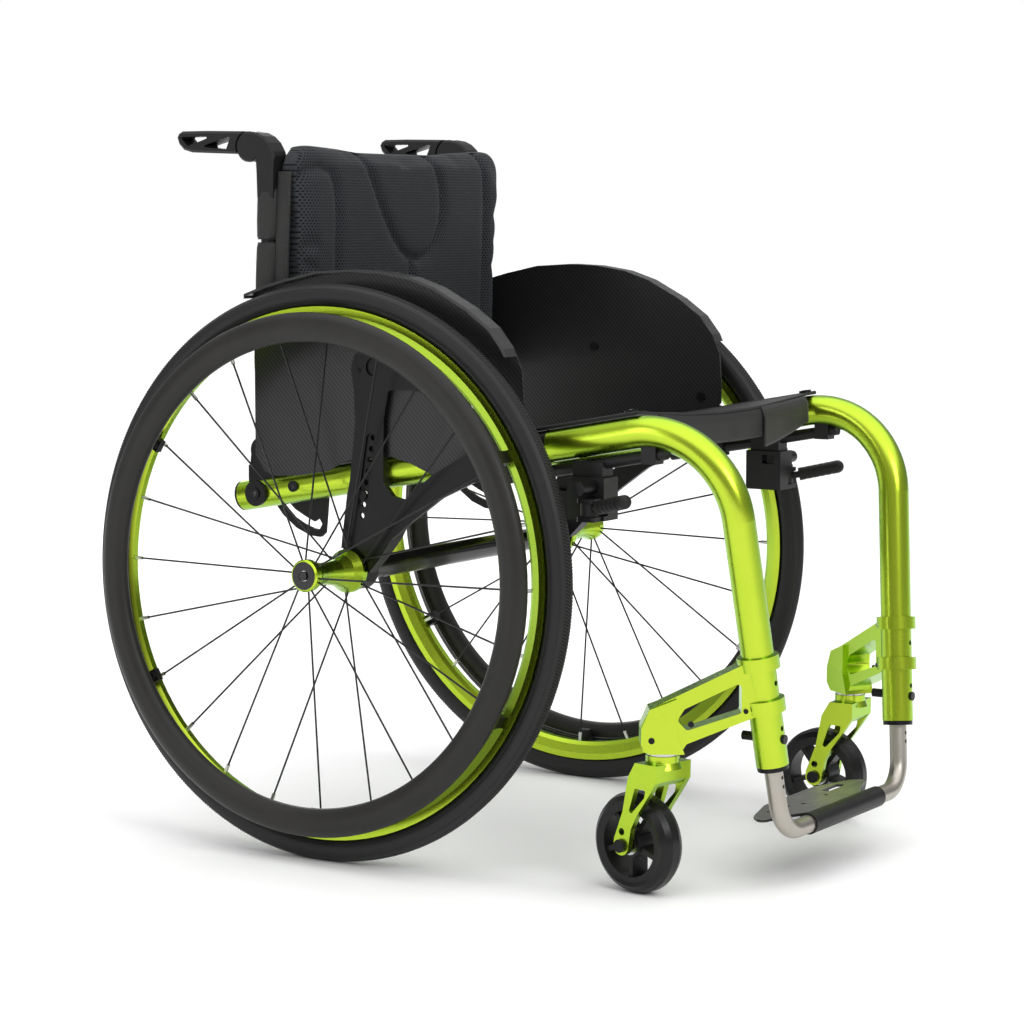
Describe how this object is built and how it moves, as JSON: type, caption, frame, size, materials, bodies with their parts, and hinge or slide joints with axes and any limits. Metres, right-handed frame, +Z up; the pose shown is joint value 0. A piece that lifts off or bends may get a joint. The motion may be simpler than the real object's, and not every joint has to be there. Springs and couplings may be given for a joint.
{
  "type": "manual wheelchair",
  "caption": "Rigid-frame manual wheelchair with quick-release rear wheels, swivel casters, side guards, sling seat and fold-down back.",
  "frame": {"origin": "bottom centre of the whole chair's box, on the floor", "axes": "+Z up; the user faces -Y; +X is the user's left"},
  "size_m": [0.5954, 0.7737, 0.7474],
  "materials": {
    "tyre_black": "matte rubber, fine tread",
    "black_anodised": "satin black",
    "black_spoke": "black with bright nipples",
    "bright_steel": "satin",
    "green_anodised": "metallic lime green",
    "black_plastic": "matte",
    "grip_rubber": "matte",
    "carbon": "woven carbon under clear coat",
    "black_gloss": "gloss black",
    "titanium": "satin",
    "nylon": "black webbing",
    "mesh": "charcoal spacer mesh",
    "handrim_black": "matte grey black coating"
  },
  "bodies": {
    "frame": {"axle_sleeves": "bright_steel", "left_front_tube": "green_anodised", "right_front_tube": "green_anodised", "rear_tubes": "green_anodised", "tube_joiners": "black_anodised", "left_axle_bracket": "black_anodised", "right_axle_bracket": "black_anodised", "camber_tube": "black_gloss", "left_side_guard": "carbon", "right_side_guard": "carbon", "footrest_tube": "titanium", "footplate_sleeve": "black_plastic", "footplate": "black_gloss", "left_caster_arm": "green_anodised", "right_caster_arm": "green_anodised", "stem_bearings": "bright_steel", "brake_housings": "black_plastic", "backrest_brackets": "black_anodised", "seat_sling": "nylon", "frame_screws": "bright_steel"},
    "left_wheel": {"left_wheel_tyre": "tyre_black", "left_wheel_rim": "green_anodised", "left_wheel_spokes": "black_spoke", "left_wheel_hub": "green_anodised", "left_wheel_bearings": "bright_steel", "left_wheel_hub_cap": "black_plastic", "left_handrim": "handrim_black", "left_handrim_tabs": "black_anodised", "left_release_axle": "bright_steel"},
    "left_release_button": {"left_release_button": "black_gloss"},
    "left_caster_fork": {"left_caster_fork": "green_anodised", "left_caster_bolts": "black_anodised"},
    "left_caster_wheel": {"left_caster_tyre": "tyre_black", "left_caster_hub": "black_plastic", "left_caster_bearings": "bright_steel"},
    "left_brake_lever": {"left_brake_lever": "black_plastic"},
    "left_brake_shoe": {"left_brake_shoe": "grip_rubber"},
    "left_push_handle": {"left_push_handle": "grip_rubber"},
    "right_wheel": {"right_wheel_tyre": "tyre_black", "right_wheel_rim": "green_anodised", "right_wheel_spokes": "black_spoke", "right_wheel_hub": "green_anodised", "right_wheel_bearings": "bright_steel", "right_wheel_hub_cap": "black_plastic", "right_handrim": "handrim_black", "right_handrim_tabs": "black_anodised", "right_release_axle": "bright_steel"},
    "right_release_button": {"right_release_button": "black_gloss"},
    "right_caster_fork": {"right_caster_fork": "green_anodised", "right_caster_bolts": "black_anodised"},
    "right_caster_wheel": {"right_caster_tyre": "tyre_black", "right_caster_hub": "black_plastic", "right_caster_bearings": "bright_steel"},
    "right_brake_lever": {"right_brake_lever": "black_plastic"},
    "right_brake_shoe": {"right_brake_shoe": "grip_rubber"},
    "right_push_handle": {"right_push_handle": "grip_rubber"},
    "backrest": {"backrest_posts": "black_anodised", "backrest_feet": "black_anodised", "backrest_pad": "mesh", "handle_heads": "black_plastic"}
  },
  "joints": [
    {"name": "left_wheel_spin", "type": "hinge", "parent": "frame", "child": "left_wheel", "pos_m": [0.245, 0.09186, 0.29481], "axis": [0.9993, 0, 0.0366], "continuous": true},
    {"name": "left_release_press", "type": "slide", "parent": "left_wheel", "child": "left_release_button", "axis": [-0.9993, 0, -0.0366], "range_m": [0, 0.003], "stiffness_N_per_m": 500, "springref_m": -0.001},
    {"name": "left_caster_swivel", "type": "hinge", "parent": "frame", "child": "left_caster_fork", "pos_m": [0.2051, -0.28304, 0.05], "axis": [0, 0, 1], "continuous": true},
    {"name": "left_caster_spin", "type": "hinge", "parent": "left_caster_fork", "child": "left_caster_wheel", "pos_m": [0.20402, -0.25206, 0.05], "axis": [0.9994, 0.0349, 0], "continuous": true},
    {"name": "left_brake_pull", "type": "hinge", "parent": "frame", "child": "left_brake_lever", "pos_m": [0.206, -0.20014, 0.3735], "axis": [0, 0, 1], "range_deg": [0, 40]},
    {"name": "left_brake_shoe_slide", "type": "slide", "parent": "frame", "child": "left_brake_shoe", "axis": [0.9854, 0.17, 0], "range_m": [0, 0.031]},
    {"name": "left_handle_fold", "type": "hinge", "parent": "backrest", "child": "left_push_handle", "pos_m": [0.185, 0.22486, 0.73], "axis": [-1, 0, 0], "range_deg": [0, 90]},
    {"name": "right_wheel_spin", "type": "hinge", "parent": "frame", "child": "right_wheel", "pos_m": [-0.245, 0.09186, 0.29481], "axis": [0.9993, 0, -0.0366], "continuous": true},
    {"name": "right_release_press", "type": "slide", "parent": "right_wheel", "child": "right_release_button", "axis": [0.9993, 0, -0.0366], "range_m": [0, 0.003], "stiffness_N_per_m": 500, "springref_m": -0.001},
    {"name": "right_caster_swivel", "type": "hinge", "parent": "frame", "child": "right_caster_fork", "pos_m": [-0.2051, -0.28304, 0.05], "axis": [0, 0, 1], "continuous": true},
    {"name": "right_caster_spin", "type": "hinge", "parent": "right_caster_fork", "child": "right_caster_wheel", "pos_m": [-0.19865, -0.25272, 0.05], "axis": [0.9781, -0.2079, 0], "continuous": true},
    {"name": "right_brake_pull", "type": "hinge", "parent": "frame", "child": "right_brake_lever", "pos_m": [-0.206, -0.20014, 0.3735], "axis": [0, 0, -1], "range_deg": [0, 40]},
    {"name": "right_brake_shoe_slide", "type": "slide", "parent": "frame", "child": "right_brake_shoe", "axis": [-0.9854, 0.17, 0], "range_m": [0, 0.031]},
    {"name": "right_handle_fold", "type": "hinge", "parent": "backrest", "child": "right_push_handle", "pos_m": [-0.185, 0.22486, 0.73], "axis": [-1, 0, 0], "range_deg": [0, 90]},
    {"name": "backrest_fold", "type": "hinge", "parent": "frame", "child": "backrest", "pos_m": [0, 0.21286, 0.412], "axis": [1, 0, 0], "range_deg": [0, 61]}
  ],
  "couplings": [
    {"joint": "left_brake_shoe_slide", "follows": "left_brake_pull", "m_per_rad": 0.041539},
    {"joint": "right_brake_shoe_slide", "follows": "right_brake_pull", "m_per_rad": 0.041539}
  ]
}
